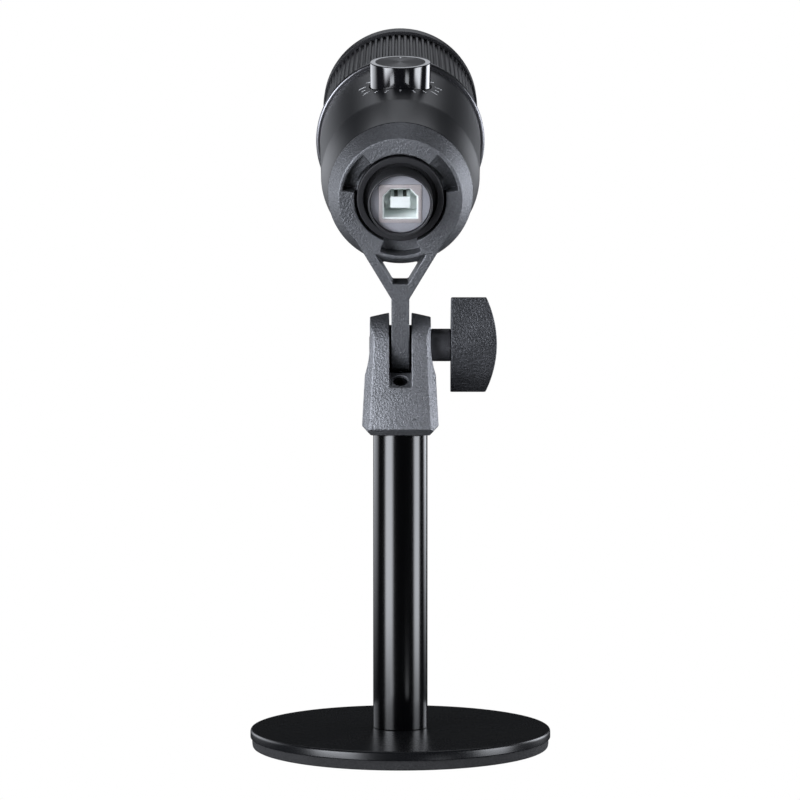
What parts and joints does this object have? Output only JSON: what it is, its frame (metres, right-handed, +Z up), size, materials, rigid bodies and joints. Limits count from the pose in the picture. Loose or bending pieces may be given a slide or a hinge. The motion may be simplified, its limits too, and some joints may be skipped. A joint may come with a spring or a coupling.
{
  "type": "desktop microphone",
  "caption": "Desktop microphone on a round base and pole; its barrel tilts in a fork clamped by a thumb knob, with a volume dial on top and a USB-B socket behind.",
  "frame": {"origin": "centre of the foot pad's underside, on the pole's axis", "axes": "+Z up along the pole; +Y the way the microphone faces; +X towards the thumb knob; the tilt axis is parallel to X"},
  "size_m": [0.088, 0.1411, 0.2248],
  "materials": {
    "foam_rubber": "closed-cell foam pad, matt black",
    "base_paint": "satin black powder coat on steel",
    "pole_lacquer": "gloss black lacquer on steel tube",
    "plain_steel": "zinc-plated steel",
    "brass_insert": "machined brass",
    "stand_plastic": "spark-textured black moulding",
    "knob_plastic": "grained black moulding",
    "washer_plastic": "black nylon",
    "collar_black": "gloss black turned collar",
    "barrel_satin": "satin black paint",
    "trim_gloss": "satin black paint with a polished lip",
    "grille_black": "satin black anodised ribs",
    "ring_plastic": "matt black moulding",
    "boss_plastic": "satin black moulding",
    "port_plastic": "matt dark grey moulding",
    "socket_metal": "nickel-plated shell",
    "socket_white": "white moulded insulator",
    "contact_gold": "gold-plated contacts",
    "board_green": "green circuit board",
    "chip_black": "black component bodies",
    "pot_blue": "blue phenolic potentiometer",
    "dial_gloss": "gloss black dial with a spun face",
    "holder_plastic": "black moulding",
    "boot_rubber": "soft black rubber",
    "capsule_metal": "bare metal can",
    "lead_red": "insulated wire",
    "screen_foam": "open-cell acoustic foam",
    "mesh_black": "black painted steel mesh"
  },
  "bodies": {
    "stand": {"foot_pad": "foam_rubber", "base_plate": "base_paint", "base_screw": "plain_steel", "pole_tube": "pole_lacquer", "pole_foot_plug": "plain_steel", "pole_top_stud": "plain_steel", "clevis": "stand_plastic", "clevis_insert": "brass_insert", "clevis_grub_screw": "plain_steel", "hinge_nut": "plain_steel", "friction_washers": "washer_plastic"},
    "clamp_collar": {"knob_collar": "collar_black"},
    "clamp_knob": {"thumb_knob": "knob_plastic", "hinge_bolt": "plain_steel"},
    "microphone": {"cradle_bracket": "stand_plastic", "lock_ring": "ring_plastic", "rear_shell": "barrel_satin", "tail_boss": "boss_plastic", "port_plate": "port_plastic", "usb_shell": "socket_metal", "usb_insulator": "socket_white", "usb_contacts": "contact_gold", "usb_board": "board_green", "usb_board_screws": "plain_steel", "board_header": "chip_black", "main_board": "board_green", "board_parts": "chip_black", "board_screws": "plain_steel", "potentiometer": "pot_blue", "trim_ring": "trim_gloss", "grille_sleeve": "grille_black", "capsule_holder": "holder_plastic", "holder_screws": "plain_steel", "capsule_boot": "boot_rubber", "capsule": "capsule_metal", "capsule_leads": "lead_red", "windscreen_foam": "screen_foam", "front_mesh": "mesh_black", "front_ring": "trim_gloss"},
    "dial": {"volume_dial": "dial_gloss", "dial_shaft": "plain_steel"}
  },
  "joints": [
    {"name": "tilt", "type": "hinge", "parent": "stand", "child": "microphone", "pos_m": [0, 0, 0.1176], "axis": [1, 0, 0], "range_deg": [-75, 70]},
    {"name": "dial_turn", "type": "hinge", "parent": "microphone", "child": "dial", "pos_m": [0, 0.0075, 0.20215], "axis": [0, -0.3584, 0.9336], "range_deg": [-140, 140]},
    {"name": "clamp_slide", "type": "slide", "parent": "stand", "child": "clamp_collar", "axis": [1, 0, 0], "range_m": [0, 0.0008]},
    {"name": "knob_turn", "type": "hinge", "parent": "clamp_collar", "child": "clamp_knob", "pos_m": [0.0148, 0, 0.1176], "axis": [1, 0, 0], "range_deg": [0, 361]}
  ],
  "couplings": [
    {"joint": "knob_turn", "follows": "clamp_slide", "rad_per_m": 7854}
  ]
}
